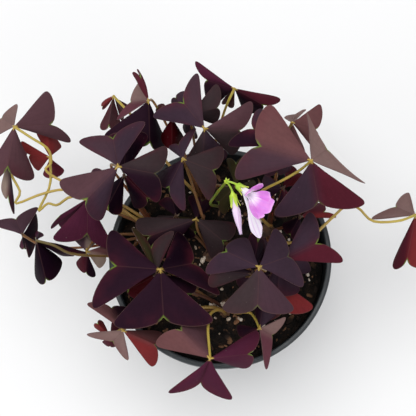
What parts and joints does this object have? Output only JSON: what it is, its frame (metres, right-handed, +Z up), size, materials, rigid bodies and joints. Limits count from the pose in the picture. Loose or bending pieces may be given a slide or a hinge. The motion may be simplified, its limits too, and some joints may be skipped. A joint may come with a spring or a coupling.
{
  "type": "potted oxalis",
  "caption": "Dark purple oxalis with three-part folded leaves on thin stalks and small pale pink flowers, growing in a round plastic nursery pot.",
  "frame": {"origin": "middle of the pot's underside, on the surface that it stands on", "axes": "+Z up through the middle of the pot, +X to the right and +Y away from the viewer of the picture"},
  "size_m": [0.2875, 0.1978, 0.1918],
  "materials": {
    "pot": "dark slate-grey moulded plastic with a dull sheen",
    "soil": "dark crumbly potting mix of bark and fibre",
    "blade": "dull velvety dark purple leaf",
    "stalk": "smooth translucent tan to pink stalk",
    "green": "smooth yellow-green flower stem and sepals",
    "petal": "soft white to pink petal"
  },
  "bodies": {
    "root": {"pot": "pot", "soil": "soil", "leaf_01": "blade", "leaf_02": "blade", "leaf_03": "blade", "leaf_04": "blade", "leaf_05": "blade", "leaf_06": "blade", "leaf_07": "blade", "leaf_08": "blade", "leaf_09": "blade", "leaf_10": "blade", "leaf_11": "blade", "leaf_12": "blade", "leaf_13": "blade", "leaf_14": "blade", "leaf_15": "blade", "leaf_16": "blade", "leaf_17": "blade", "leaf_18": "blade", "leaf_19": "blade", "leaf_20": "blade", "leaf_21": "blade", "leaf_22": "blade", "leaf_23": "blade", "leaf_24": "blade", "leaf_25": "blade", "leaf_26": "blade", "leaf_27": "blade", "leaf_28": "blade", "leaf_29": "blade", "leaf_30": "blade", "leaf_31": "blade", "leaf_32": "blade", "leaf_33": "blade", "leaf_34": "blade", "leaf_35": "blade", "stalks_west": "stalk", "stalks_north": "stalk", "stalks_east": "stalk", "stalks_south": "stalk", "stalks_middle": "stalk", "flower_stem": "green", "open_flower": "petal", "closed_flower": "petal"}
  },
  "joints": []
}
